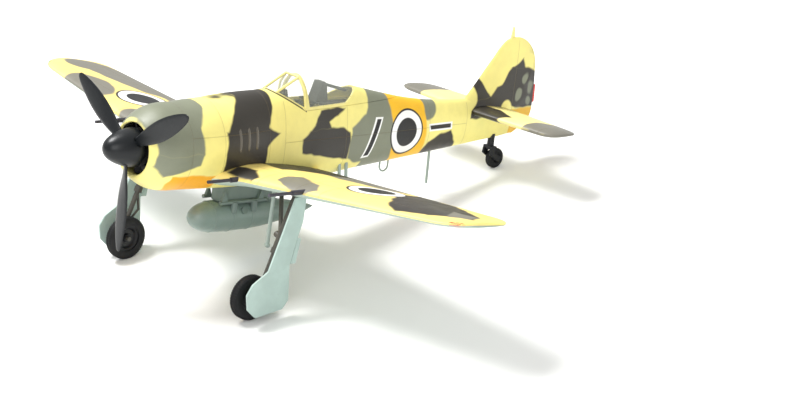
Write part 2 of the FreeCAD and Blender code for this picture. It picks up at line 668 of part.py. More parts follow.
def make_tail_unit(body):
    strut = fuse([Part.makeCylinder(0.85, 2.6, point(0, SWIVEL_Y, -6.0)),
                  Part.makeCylinder(SWIVEL_PIN_RADIUS, 1.4, point(0, SWIVEL_Y, -7.3))]).cut(body)
    head = Part.makeCylinder(0.85, 1.15, point(0, SWIVEL_Y, -7.2))
    arm_gap = TAIL_WHEEL_WIDTH / 2 + 0.15
    arms = []
    for x in (-arm_gap - 0.5, arm_gap):
        outline = [(SWIVEL_Y - 0.9, -6.9), (SWIVEL_Y + 0.8, -6.6), (SWIVEL_Y + 0.5, -8.0),
                   (TAIL_AXLE_Y + 0.7, TAIL_AXLE_Z + 0.5), (TAIL_AXLE_Y + 0.5, TAIL_AXLE_Z - 0.6),
                   (TAIL_AXLE_Y - 0.4, TAIL_AXLE_Z - 0.6), (SWIVEL_Y - 1.1, -8.3)]
        arms.append(side_prism(outline, x, x + 0.5))
    crown = side_prism([(SWIVEL_Y - 0.9, -6.95), (SWIVEL_Y - 0.85, -6.35), (SWIVEL_Y + 0.8, -6.35),
                        (SWIVEL_Y + 0.8, -6.75)], -arm_gap - 0.5, arm_gap + 0.5)
    axle = Part.makeCylinder(TAIL_AXLE_RADIUS, 2 * arm_gap + 0.6,
                             point(-arm_gap - 0.3, TAIL_AXLE_Y, TAIL_AXLE_Z), Vector(1, 0, 0))
    yoke = fuse([head, crown, axle] + arms)
    clear = Part.makeCylinder(TAIL_WHEEL_RADIUS + 0.2, TAIL_WHEEL_WIDTH + 0.2,
                              point(-TAIL_WHEEL_WIDTH / 2 - 0.1, TAIL_AXLE_Y, TAIL_AXLE_Z), Vector(1, 0, 0))
    yoke = yoke.cut(clear).fuse(axle)
    socket = Part.makeCylinder(SWIVEL_PIN_RADIUS + RUNNING_CLEARANCE, 1.5, point(0, SWIVEL_Y, -7.4))
    return strut, yoke.cut(socket).removeSplitter()


def make_tank_halves():
    left = turned_smooth(TANK, 0.0, TANK_Z, 180, 0.0)
    right = turned_smooth(TANK, 0.0, TANK_Z, 180, 180.0)
    return left, right


def make_rack(fuselage, wing):
    box = Part.makeBox(2 * RACK_HALF_WIDTH, RACK_REAR - RACK_FRONT, RACK_DEPTH,
                       point(-RACK_HALF_WIDTH, RACK_FRONT, RACK_BOTTOM))
    nose = Part.makeCylinder(RACK_HALF_WIDTH, RACK_DEPTH, point(0, RACK_FRONT, RACK_BOTTOM))
    tail = Part.makeCylinder(RACK_HALF_WIDTH, RACK_DEPTH, point(0, RACK_REAR, RACK_BOTTOM))
    wedge = side_prism([(41.0, RACK_BOTTOM - 1), (52.0, RACK_BOTTOM - 1), (52.0, -10.0)])
    body = fuse([box, nose, tail]).cut(wedge).cut(fuselage).cut(wing)
    tank = Part.makeCylinder(TANK_RADIUS, 40.0, point(0, 22.0, TANK_Z), Vector(0, 1, 0))
    return body.cut(tank)


def make_sway_frame(rack, fuselage, wing, tank):
    rail = bar(point(RAIL_X, 29.4, -13.2), point(RAIL_X, 42.2, -13.2), 0.42)
    shapes = [rail]
    for station in (30.6, 40.6):
        outline = [(station - 0.9, -13.3), (station, -10.6), (station + 0.9, -13.3)]
        shapes.append(side_prism(outline, RACK_HALF_WIDTH, RAIL_X + 0.2))
    for station in (33.4, 38.8):
        shapes.append(bar(point(RAIL_X, station, -13.2), point(RAIL_X, station, -15.6), 0.75))
    return fuse(shapes).cut(rack).cut(fuselage).cut(wing).cut(tank)


def make_gun(x, start, height, wing):
    end = start + GUN_LENGTH
    barrel = bar(point(x, start, height), point(x, end + 1.5, height), GUN_RADIUS)
    collar = bar(point(x, end - 2.6, height), point(x, end + 1.5, height), GUN_RADIUS + 0.2)
    shapes = [fuse([barrel, collar]).cut(wing)]
    shapes.append(mirrored(shapes[0]))
    return Part.Compound(shapes)


def make_lamp(wing):
    lamp = turned_smooth(LAMP)
    lamp.rotate(Vector(0, 0, 0), Vector(0, 0, 1), LAMP_TURN)
    lamp.translate(point(*LAMP_CENTRE))
    return lamp.cut(wing)


def make_loop_antenna(fuselage):
    ring = Part.makeTorus(1.25, 0.22, point(0, 78.5, -9.0), Vector(1, 0, 0))
    legs = [bar(point(0, 78.5 + side, -9.0), point(0, 78.5 + side, -7.0), 0.22) for side in (-1.25, 1.25)]
    lower = side_prism([(76.0, -12.0), (81.0, -12.0), (81.0, -9.0), (76.0, -9.0)])
    return fuse([ring.common(lower)] + legs).cut(fuselage)


def make_boarding_step(fuselage):
    shapes = []
    for station in (60.6, 62.6):
        shapes.append(side_prism([(station, -6.0), (station + 0.7, -6.0), (station + 1.2, -9.6),
                                  (station + 0.5, -9.6)], 4.2, 4.6))
    shapes.append(side_prism([(60.6, -9.2), (64.2, -9.9), (64.2, -10.3), (60.6, -9.6)], 4.0, 5.2))
    return fuse(shapes).cut(fuselage)


def stance_angle():
    """Nose-up angle that puts the main and tail tyres on one floor, in degrees."""
    along = TAIL_AXLE_Y - AXLE_Y
    rise = TAIL_AXLE_Z - AXLE_Z
    reach = math.hypot(along, rise)
    drop = math.asin((WHEEL_RADIUS - TAIL_WHEEL_RADIUS) / reach)
    return math.degrees(math.atan2(rise, along) + drop)


def stand_on_wheels(parts):
    """Turn every part to the stance, then put the base centre of the whole at the origin."""
    for shape in parts.values():
        shape.rotate(Vector(0, 0, 0), Vector(1, 0, 0), -stance_angle())
    box = Part.Compound(list(parts.values())).optimalBoundingBox(True, False)
    shift = Vector(-(box.XMin + box.XMax) / 2, -(box.YMin + box.YMax) / 2, -box.ZMin)
    for shape in parts.values():
        shape.translate(shift)
    return shift


def build():
    parts = {}
    body = fuselage_body()
    lower, upper_left, upper_right = make_wing(body)
    wing = lower.fuse(upper_left).fuse(upper_right)
    fin = fin_body()
    solid_body = body.fuse(fin)
    parts["fuselage_left"], parts["fuselage_right"] = make_fuselage(lower)
    parts["wing_lower"] = lower
    parts["wing_upper_left"] = upper_left
    parts["wing_upper_right"] = upper_right
    parts["cowl_ring"] = make_cowl_ring()
    parts["engine"] = make_engine()
    parts["propeller_bearing"] = make_bearing()
    parts["cockpit_tub"] = make_cockpit_tub()
    parts["pilot_seat"] = make_seat()
    parts["instrument_panel"] = make_instrument_panel()
    parts["control_stick"] = make_stick()
    parts["gunsight"] = make_gunsight()
    parts["windscreen_frame"], parts["windscreen_glass"] = make_windscreen()
    hood = make_hood()
    parts["hood_frame"], parts["hood_glass"], parts["hood_fairing"], parts["headrest"] = hood
    parts["tailplane_left"] = make_tailplane(solid_body)
    parts["tailplane_right"] = mirrored(parts["tailplane_left"])
    tab = side_prism([(124.0, 3.7), (125.1, 3.8), (124.9, 8.1), (124.0, 8.2)], -0.14, 0.14)
    parts["rudder_trim_tab"] = tab.cut(fin)
    mast = side_prism([(114.4, 19.0), (115.9, 19.0), (115.2, 22.5), (114.9, 22.5)], -0.16, 0.16)
    parts["fin_aerial_post"] = mast.cut(fin)
    lamp = make_lamp(wing)
    parts["nav_light_left"] = lamp
    parts["nav_light_right"] = mirrored(lamp)
    parts["gun_barrels_inner"] = make_gun(INNER_GUN_X, 18.4, -5.20, wing)
    parts["gun_barrels_outer"] = make_gun(OUTER_GUN_X, 19.3, -2.95, wing)
    parts["loop_antenna"] = make_loop_antenna(body)
    parts["rod_antenna"] = bar(point(0, 92.4, -5.0), point(0, 92.7, -14.2), 0.33).cut(body)
    parts["boarding_step"] = make_boarding_step(body)
    drop_rod = fuse([bar(point(20.0, 29.9, -5.5), point(20.0, 29.6, -17.6), 0.42),
                     Part.makeSphere(0.6, point(20.0, 29.6, -17.6))])
    parts["hanging_mast"] = drop_rod.cut(wing)
    rack = make_rack(body, wing)
    parts["belly_rack"] = rack
    tank_left, tank_right = make_tank_halves()
    tank = tank_left.fuse(tank_right)
    frame = make_sway_frame(rack, body, wing, tank)
    parts["sway_brace_left"] = frame
    parts["sway_brace_right"] = mirrored(frame)
    parts["drop_tank_left"] = tank_left
    parts["drop_tank_right"] = tank_right
    cap = bar(point(0, 36.1, TANK_Z), point(3.55, 36.1, TANK_Z + 1.75), 0.75).cut(tank)
    parts["tank_filler_cap"] = cap
    leg = make_leg(wing)
    link = make_torque_link(leg)
    strut = make_retraction_strut(leg, wing)
    door = rounded_plate(DOOR, DOOR_X, DOOR_X + DOOR_THICKNESS, 0.55).cut(wing)
    flap = side_prism(DOOR_FLAP, DOOR_X + 0.1, DOOR_X + 0.35).cut(door)
    tyre, hub = wheel_profile(WHEEL_RADIUS, WHEEL_WIDTH, HUB_RADIUS, AXLE_RADIUS + RUNNING_CLEARANCE)
    left_pieces = {"gear_leg": leg, "torque_link": link, "retraction_strut": strut, "gear_door": door,
                   "tyre": wheel_solid(tyre, WHEEL_X, AXLE_Y, AXLE_Z),
                   "wheel_hub": wheel_solid(hub, WHEEL_X, AXLE_Y, AXLE_Z)}
    for name, shape in left_pieces.items():
        parts[name + "_left"] = shape
        parts[name + "_right"] = mirrored(shape)
    parts["gear_door_flaps"] = Part.Compound([flap, mirrored(flap)])
    strut, yoke = make_tail_unit(solid_body)
    parts["tail_strut"] = strut
    parts["tail_yoke"] = yoke
    tyre, hub = wheel_profile(TAIL_WHEEL_RADIUS, TAIL_WHEEL_WIDTH, TAIL_HUB_RADIUS,
                              TAIL_AXLE_RADIUS + RUNNING_CLEARANCE)
    parts["tail_tyre"] = wheel_solid(tyre, 0.0, TAIL_AXLE_Y, TAIL_AXLE_Z)
    parts["tail_wheel_hub"] = wheel_solid(hub, 0.0, TAIL_AXLE_Y, TAIL_AXLE_Z)
    spinner, blades, shaft, fan = make_propeller()
    parts["spinner"] = spinner
    for number, blade in enumerate(blades, 1):
        parts["propeller_blade_%d" % number] = blade
    parts["propeller_shaft"] = shaft
    parts["cooling_fan"] = fan
    return parts


def main():
    os.makedirs("parts", exist_ok=True)
    parts = build()
    shift = stand_on_wheels(parts)
    print("stance %.4f degrees, shift %.4f %.4f %.4f" % (stance_angle(), shift.x, shift.y, shift.z))
    for name, shape in parts.items():
        solids = shape.Solids
        volume = sum(solid.Volume for solid in solids)
        print("%-22s solids %d valid %s volume %.3f" % (name, len(solids), shape.isValid(), volume))
        clean = solids[0] if len(solids) == 1 else Part.Compound(solids)
        clean.exportStep("parts/%s.step" % name)


main()
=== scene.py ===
import math
import bpy
import bmesh
from mathutils import Matrix, Vector
from mathutils.bvhtree import BVHTree


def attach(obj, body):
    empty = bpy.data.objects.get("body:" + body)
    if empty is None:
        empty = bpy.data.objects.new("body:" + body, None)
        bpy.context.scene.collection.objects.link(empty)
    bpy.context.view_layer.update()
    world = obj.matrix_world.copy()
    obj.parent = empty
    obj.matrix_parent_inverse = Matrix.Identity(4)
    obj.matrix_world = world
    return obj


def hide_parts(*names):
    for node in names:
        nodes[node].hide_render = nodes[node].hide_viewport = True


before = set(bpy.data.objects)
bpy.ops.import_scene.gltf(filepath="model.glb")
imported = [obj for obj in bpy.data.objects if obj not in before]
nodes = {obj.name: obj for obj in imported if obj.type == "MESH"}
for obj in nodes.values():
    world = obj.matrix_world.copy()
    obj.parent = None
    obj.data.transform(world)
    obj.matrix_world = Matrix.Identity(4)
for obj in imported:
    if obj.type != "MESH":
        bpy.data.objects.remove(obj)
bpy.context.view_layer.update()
mm = 0.001

# The model is painted and detailed in millimetres along its thrust line: x to port, y aft of the
# spinner's tip, z up. The stance turns it nose-up onto its wheels.
stance = {"noseUp": math.radians(12.9667), "spinnerTip": Vector((0.0, -61.8136, 37.3549))}
toRow = Matrix.Translation(stance["spinnerTip"] * mm) @ Matrix.Rotation(-stance["noseUp"], 4, "X") @ Matrix.Scale(mm, 4)
toPlane = toRow.inverted()
print("frame loaded:", len(nodes), "nodes")


# ---------- material helpers
def linearColour(code):  # sRGB hex to linear RGBA
    channels = [int(code[i:i + 2], 16) / 255 for i in (1, 3, 5)]
    return [c / 12.92 if c <= 0.04045 else ((c + 0.055) / 1.055) ** 2.4 for c in channels] + [1.0]


def addNode(tree, kind, inputs=None, **settings):
    node = tree.nodes.new("ShaderNode" + kind)
    for name, value in settings.items():
        setattr(node, name, value)
    for name, value in (inputs or {}).items():
        if isinstance(value, bpy.types.NodeSocket):
            tree.links.new(value, node.inputs[name])
        else:
            node.inputs[name].default_value = value
    return node


def newMaterial(name, **sockets):
    material = bpy.data.materials.new(name)
    material.use_nodes = True
    tree = material.node_tree
    shader = tree.nodes["Principled BSDF"]
    for socket, value in sockets.items():
        shader.inputs[socket.replace("_", " ")].default_value = value
    return material, tree, shader


def planeSpace(tree, wobble=0.0, wobbleSize=6.0):  # object coordinates as millimetres along the thrust line
    turn = Matrix.Rotation(stance["noseUp"], 3, "X")
    start = -(turn @ stance["spinnerTip"])
    coords = addNode(tree, "TexCoord")
    space = addNode(tree, "Mapping", {"Vector": coords.outputs["Object"], "Location": start,
                                      "Rotation": (stance["noseUp"], 0, 0), "Scale": (1 / mm,) * 3})
    if not wobble:
        return space.outputs[0]
    noise = addNode(tree, "TexNoise", {"Vector": space.outputs[0], "Scale": 1 / wobbleSize, "Detail": 1.5})
    centred = addNode(tree, "VectorMath", {0: noise.outputs["Color"], 1: (0.5, 0.5, 0.5)}, operation="SUBTRACT")
    scaled = addNode(tree, "VectorMath", {0: centred.outputs[0], "Scale": wobble * 2}, operation="SCALE")
    return addNode(tree, "VectorMath", {0: space.outputs[0], 1: scaled.outputs[0]}, operation="ADD").outputs[0]


def fade(tree, value, start, end):  # 0 at start, 1 at end, smooth between
    return addNode(tree, "MapRange", {"Value": value, "From Min": start, "From Max": end},
                   interpolation_type="SMOOTHSTEP").outputs[0]


def combine(tree, a, b, operation):
    return addNode(tree, "Math", {0: a, 1: b}, operation=operation).outputs[0]


def blobMask(tree, space, plane, patch, soft):  # an ellipse: centre, half sizes, turn in degrees
    u, v, halfU, halfV, turn = patch
    far = 1e4
    placed = {"side": {"Location": (0, u, v), "Rotation": (math.radians(turn), 0, 0), "Scale": (far, halfU, halfV)},
              "plan": {"Location": (u, v, 0), "Rotation": (0, 0, math.radians(turn)), "Scale": (halfU, halfV, far)}}
    local = addNode(tree, "Mapping", {"Vector": space, **placed[plane]}, vector_type="TEXTURE")
    size = addNode(tree, "VectorMath", {0: local.outputs[0]}, operation="LENGTH").outputs["Value"]
    band = soft / min(halfU, halfV)
    return fade(tree, size, 1 + band, 1 - band)


def polygonMask(tree, space, plane, corners, soft):  # a convex outline
    mask = None
    area = sum(a[0] * b[1] - a[1] * b[0] for a, b in zip(corners, corners[1:] + corners[:1]))
    corners = corners if area > 0 else corners[::-1]
    for (u1, v1), (u2, v2) in zip(corners, corners[1:] + corners[:1]):
        length = math.hypot(u2 - u1, v2 - v1)
        inU, inV = -(v2 - v1) / length, (u2 - u1) / length
        normal = (0, inU, inV) if plane == "side" else (inU, inV, 0)
        depth = addNode(tree, "VectorMath", {0: space, 1: normal}, operation="DOT_PRODUCT").outputs["Value"]
        edge = fade(tree, depth, inU * u1 + inV * v1 - soft, inU * u1 + inV * v1 + soft)
        mask = edge if mask is None else combine(tree, mask, edge, "MINIMUM")
    return mask


def paintOver(tree, under, colour, mask):
    top = linearColour(colour) if isinstance(colour, str) else colour
    return addNode(tree, "Mix", {0: mask, 6: under, 7: top}, data_type="RGBA").outputs[2]


def paintPatches(tree, space, plane, colour, patches, soft=0.28):
    for tone, shape, values in patches:
        make = blobMask if shape == "blob" else polygonMask
        colour = paintOver(tree, colour, paint[tone], make(tree, space, plane, values, soft))
    return colour


def paintRoundel(tree, space, plane, colour, centre, radius):  # plain dark disc, white ring, dark edge
    for share, tone in ((1.0, "black"), (0.92, "white"), (0.62, "black")):
        mask = blobMask(tree, space, plane, (*centre, radius * share, radius * share, 0), 0.1)
        colour = paintOver(tree, colour, paint[tone], mask)
    return colour


def lineMask(tree, space, lines, width):  # engraved panel lines: a direction, a place and the span that it runs over
    total = None
    for normal, place, along, low, high in lines:
        across = addNode(tree, "VectorMath", {0: space, 1: normal}, operation="DOT_PRODUCT").outputs["Value"]
        gap = addNode(tree, "Math", {0: combine(tree, across, place, "SUBTRACT")}, operation="ABSOLUTE").outputs[0]
        line = fade(tree, gap, width, width * 0.35)
        run = addNode(tree, "VectorMath", {0: space, 1: along}, operation="DOT_PRODUCT").outputs["Value"]
        line = combine(tree, line, fade(tree, run, low - 0.1, low + 0.1), "MULTIPLY")
        line = combine(tree, line, fade(tree, run, high + 0.1, high - 0.1), "MULTIPLY")
        total = line if total is None else combine(tree, total, line, "MAXIMUM")
    return total


def finishPaint(tree, shader, colour, space, lines=None, roughness=0.46, mottle=0.06, grain=0.35):
    """grain is the size of the paint's orange peel in millimetres"""
    cloud = addNode(tree, "TexNoise", {"Vector": space, "Scale": 0.22, "Detail": 4.0, "Roughness": 0.6})
    shade = fade(tree, cloud.outputs["Fac"], 0.3, 0.7)
    tone = addNode(tree, "MapRange", {"Value": shade, "To Min": 1 - mottle, "To Max": 1 + mottle * 0.4})
    colour = addNode(tree, "Mix", {0: 1.0, 6: colour, 7: tone.outputs[0]}, data_type="RGBA",
                     blend_type="MULTIPLY").outputs[2]
    peel = addNode(tree, "TexNoise", {"Vector": space, "Scale": 1 / grain, "Detail": 2.0})
    height = peel.outputs["Fac"]
    if lines is not None:
        colour = paintOver(tree, colour, "#6A5A38", combine(tree, lines, 0.28, "MULTIPLY"))
        height = combine(tree, height, combine(tree, lines, 4.0, "MULTIPLY"), "SUBTRACT")
    bump = addNode(tree, "Bump", {"Height": height, "Strength": 0.5, "Distance": 0.03 * mm})
    gloss = addNode(tree, "MapRange", {"Value": cloud.outputs["Fac"], "From Min": 0.3, "From Max": 0.7,
                                       "To Min": roughness - 0.05, "To Max": roughness + 0.07})
    tree.links.new(colour, shader.inputs["Base Color"])
    tree.links.new(gloss.outputs[0], shader.inputs["Roughness"])
    tree.links.new(bump.outputs[0], shader.inputs["Normal"])


paint = {"yellow": "#EEE286", "wingYellow": "#EED580", "brown": "#2E2A23", "green": "#7A7E6A", "grey": "#767368",
         "orange": "#F0B914", "belly": "#F0A80F", "blue": "#AFC3BA", "white": "#F4F4F0", "black": "#050506"}

# ---------- painted moulded styrene, semi-gloss enamel: the body's sides
sidePatches = [  # y and z of corners, or an ellipse's centre, half sizes and turn
    ("green", "area", [(7.3, 14), (7.3, 4.6), (8.8, 0), (19.0, 0), (19.1, 14)]),
    ("green", "area", [(17, 14), (17, 4.5), (19.2, 5.4), (21.3, 8.2), (21.2, 14)]),
    ("green", "area", [(8.8, 0.2), (8.1, -2.4), (10.3, -5.2), (14.1, -3.8), (18.4, -2.1), (19.0, 0.2)]),
    ("belly", "area", [(12.0, -5.1), (12.2, -7), (14, -12), (24.5, -12), (24.3, -5.2), (16.8, -4.9)]),
    ("brown", "area", [(25.4, 4.2), (25.1, -8), (37.3, -8), (38.0, 4.4)]),
    ("brown", "area", [(25.4, 3.8), (38.0, 3.8), (39.7, 8.4), (40.6, 14), (34.0, 14)]),
    ("brown", "area", [(24.4, 14), (25.0, 9.8), (31.0, 10.1), (31.0, 14)]),
    ("brown", "area", [(37.0, 4.6), (37.0, -0.8), (41.0, 2.6)]),
    ("brown", "area", [(48.8, -2.2), (52.7, -3.1), (62.4, -4.9), (63.1, -1.1), (62.6, 1.3), (59.2, 2.2),
                       (50.2, 2.4), (48.1, 0.9)]),
    ("brown", "area", [(50.2, 2.1), (56.3, 2.1), (55.7, 4.3), (51.9, 4.3)]),
    ("brown", "area", [(51.7, 4.0), (55.9, 3.9), (58.6, 5.0), (60.5, 6.7), (53.3, 6.6)]),
    ("green", "area", [(69.2, 14), (67.6, 4.3), (67.6, -9), (78, -9), (77, 14)]),
    ("green", "area", [(67.9, 4.7), (63.2, 2.0), (62.6, -4.8), (67.9, -6.6)]),
    ("green", "blob", (88.2, 5.6, 2.9, 3.5, 0)),
    ("orange", "area", [(74.3, 14), (77.6, -9), (88.4, -9), (85.8, 14)]),
    ("brown", "area", [(87.6, -6.5), (98.6, -6.5), (98.4, -4.0), (96.3, -0.9), (95.0, -1.2), (88.6, -3.5)]),
    ("brown", "area", [(113.4, 9.0), (112.2, 3.2), (126, 3.2), (124.9, 11.4), (120.4, 13.0), (116.2, 12.6)]),
    ("brown", "area", [(116.0, 12.4), (120.6, 12.6), (119.8, 14.8)]),
    ("brown", "area", [(109.7, 5.7), (112.3, 3.0), (114, 3.0), (114, 9.1), (111.6, 8.3)]),
    ("brown", "area", [(103.4, 9.4), (105.3, 4.9), (109.7, 5.7), (106.6, 9.4), (105.0, 11.0)]),
    ("brown", "area", [(105.6, 5.2), (103.0, 3.1), (102.8, 1.2), (113, 1.5), (113, 3.6), (109.8, 5.9)]),
    ("yellow", "blob", (115.2, 2.6, 2.0, 2.0, 0)),
    ("orange", "area", [(117.2, 2.5), (117.4, -6), (126, -6), (126, 2.8), (120.9, 3.1)]),
    ("green", "blob", (121.2, 10.2, 0.95, 1.35, 0)),
    ("green", "blob", (119.2, 6.2, 1.2, 1.6, -25)),
    ("green", "blob", (123.2, 7.6, 0.8, 1.6, 0)),
    ("green", "blob", (122.9, 4.4, 0.9, 0.9, 0))]
sideMarks = [
    ("white", "area", [(88.3, 1.05), (88.7, -0.75), (96.5, -0.75), (96.4, 1.05)]),
    ("black", "area", [(88.75, 0.65), (89.1, -0.35), (96.0, -0.35), (95.9, 0.65)]),
    ("white", "area", [(70.6, 3.9), (67.1, -5.4), (69.5, -5.2), (73.0, 3.8)]),
    ("black", "area", [(71.05, 3.45), (67.75, -4.95), (69.2, -4.8), (72.4, 3.4)])]
acrossY, acrossZ = (0, 1, 0), (0, 0, 1)
sideLines = [(acrossY, 16.1, acrossZ, -12, 12), (acrossY, 24.6, acrossZ, -12, 11), (acrossY, 38.4, acrossZ, -6, 11),
             (acrossZ, 3.4, acrossY, 16, 38.4), (acrossY, 43.0, acrossZ, -6, 9), (acrossY, 61.5, acrossZ, -9, 7),
             (acrossY, 88.6, acrossZ, -7, 7), (acrossY, 101.5, acrossZ, -6, 5), (acrossY, 117.3, acrossZ, -3.4, 19.5),
             (acrossZ, 0.2, acrossY, 43, 101.5)]
seamLines = [((0, 0.479, 0.878), 29.35, acrossY, 41.2, 49.2)]  # dark seam along the windscreen's foot


def makeBodyPaint():
    material, tree, shader = newMaterial("camouflage enamel on moulded styrene, body", IOR=1.5)
    space = planeSpace(tree)
    hand = planeSpace(tree, 1.1, 5.0)  # brush-edged patches wander by about a millimetre
    colour = paintPatches(tree, hand, "side", linearColour(paint["yellow"]), sidePatches)
    colour = paintPatches(tree, space, "side", colour, sideMarks, 0.1)
    colour = paintRoundel(tree, space, "side", colour, (80.9, -0.3), 5.4)
    under = polygonMask(tree, space, "side", [(20, -9.95), (40, -9.7), (113, -4.0), (113, -20), (20, -20)], 0.3)
    colour = paintOver(tree, colour, paint["blue"], under)
    colour = paintOver(tree, colour, "#2B2620", lineMask(tree, space, seamLines, 0.24))
    finishPaint(tree, shader, colour, space, lineMask(tree, space, sideLines, 0.12))
    return material


# ---------- the wings' upper faces
portPatches = [  # x and y
    ("brown", "area", [(9.0, 25.7), (16.4, 26.7), (17.0, 28.0), (13.0, 30.5), (9.8, 30.1), (8.4, 29.2)]),
    ("brown", "area", [(5, 35.6), (14.0, 36.8), (15.6, 41.0), (13, 53), (4, 53)]),
    ("grey", "area", [(19, 44.5), (24, 43.7), (36, 46), (40, 49), (40, 54), (15, 54)]),
    ("brown", "area", [(8, 44), (15.5, 41.2), (20, 45.4), (20, 54), (6, 54)]),
    ("grey", "area", [(21.8, 28.6), (26.6, 27.6), (32.4, 27.8), (34.6, 29.4), (31.0, 32.4), (23.7, 34.2),
                      (21.4, 31.8)]),
    ("brown", "area", [(44.6, 41.5), (53.0, 32.0), (56.3, 30.9), (63.4, 32.4), (71.6, 37.4), (69, 41.5),
                       (54.5, 49.3), (41, 52)]),
    ("grey", "area", [(62.8, 40.8), (67.8, 34.6), (71.2, 37.0), (69.4, 40.8)])]
starboardPatches = [
    ("grey", "blob", (-57.0, 45.6, 15.0, 5.2, 14)),
    ("grey", "blob", (-67.5, 40.5, 5.0, 4.0, 35)),
    ("grey", "blob", (-44.0, 50.0, 7.0, 3.4, 5)),
    ("grey", "blob", (-52.6, 32.2, 8.2, 5.0, -8)),
    ("grey", "blob", (-26.0, 47.0, 11.0, 5.5, 0)),
    ("grey", "blob", (-30.2, 29.4, 5.4, 3.6, 0)),
    ("grey", "blob", (-12.5, 30.5, 4.6, 5.0, 0)),
    ("brown", "blob", (-10.4, 35.6, 4.6, 3.4, 0)),
    ("brown", "blob", (-11.0, 49.0, 5.2, 4.8, 0))]
alongX = (1, 0, 0)
wingLines = [((0.1, 1, 0), 51.6, alongX, 41.5, 66.0), (alongX, 41.5, acrossY, 46.5, 60), (alongX, 66.0, acrossY, 44, 60),
             ((-0.1, 1, 0), 51.6, alongX, -66.0, -41.5), (alongX, -41.5, acrossY, 46.5, 60),
             (alongX, -66.0, acrossY, 44, 60), ((-0.03, 1, 0), 32.6, alongX, 10, 64), ((0.03, 1, 0), 32.6, alongX, -64, -10),
             (alongX, 18.0, acrossY, 25, 33.5), (alongX, -18.0, acrossY, 25, 33.5), (alongX, 29.0, acrossY, 27, 48),
             (alongX, -29.0, acrossY, 27, 48), (alongX, 36.0, acrossY, 27, 48), (alongX, -36.0, acrossY, 27, 48),
             ((0.06, 1, 0), 49.3, alongX, 9.5, 41.5), ((-0.06, 1, 0), 49.3, alongX, -41.5, -9.5)]


def makeWingPaint():
    material, tree, shader = newMaterial("camouflage enamel on moulded styrene, wings", IOR=1.5)
    space = planeSpace(tree)
    hand = planeSpace(tree, 1.4, 7.0)
    warm = addNode(tree, "TexNoise", {"Vector": space, "Scale": 0.03, "Detail": 1.0})
    colour = addNode(tree, "Mix", {0: fade(tree, warm.outputs["Fac"], 0.35, 0.65), 6: linearColour(paint["wingYellow"]),
                                   7: linearColour("#F4DC7C")}, data_type="RGBA").outputs[2]
    colour = paintPatches(tree, hand, "plan", colour, portPatches + starboardPatches, 0.35)
    for centre in ((39.8, 40.6), (-41.0, 39.2)):
        colour = paintRoundel(tree, space, "plan", colour, centre, 6.4)
    finishPaint(tree, shader, colour, space, lineMask(tree, space, wingLines, 0.17))
    return material


tailPatches = [
    ("brown", "area", [(0, 102), (9.6, 103.1), (12.1, 106.2), (5, 108.4), (0, 108)]),
    ("brown", "area", [(-5, 103), (0, 102), (0, 109), (-6, 107)]),
    ("grey", "area", [(16.4, 103.9), (20, 103.7), (28, 105), (28, 117), (18, 117), (17.4, 108.7)]),
    ("grey", "area", [(-28, 102), (-18.5, 102), (-16, 108), (-17, 117), (-28, 117)])]
tailLines = [((0.05, 1, 0), 111.4, alongX, 3, 27), ((-0.05, 1, 0), 111.4, alongX, -27, -3),
             (alongX, 22.4, acrossY, 100, 111), (alongX, -22.4, acrossY, 100, 111)]


def makeTailPaint():
    material, tree, shader = newMaterial("camouflage enamel on moulded styrene, tail", IOR=1.5)
    space = planeSpace(tree)
    hand = planeSpace(tree, 1.0, 5.0)
    colour = paintPatches(tree, hand, "plan", linearColour("#EEDF92"), tailPatches, 0.3)
    height = addNode(tree, "VectorMath", {0: space, 1: acrossZ}, operation="DOT_PRODUCT").outputs["Value"]
    colour = paintOver(tree, colour, paint["blue"], fade(tree, height, 2.2, 1.9))
    finishPaint(tree, shader, colour, space, lineMask(tree, space, tailLines, 0.15))
    return material


def makePlain(name, colour, roughness, worn=None, grain=0.35, mottle=0.08, **sockets):
    """One-colour finish with a faint cloud, fine grain and, if worn is given, rubbed spots of that colour."""
    material, tree, shader = newMaterial(name, **sockets)
    space = planeSpace(tree)
    tone = linearColour(colour)
    if worn:
        rub = addNode(tree, "TexNoise", {"Vector": space, "Scale": 0.9, "Detail": 5.0, "Roughness": 0.7})
        tone = paintOver(tree, tone, worn, fade(tree, rub.outputs["Fac"], 0.62, 0.74))
    else:
        tone = addNode(tree, "Mix", {0: 0.0, 6: tone, 7: tone}, data_type="RGBA").outputs[2]
    finishPaint(tree, shader, tone, space, None, roughness, mottle, grain)
    return material


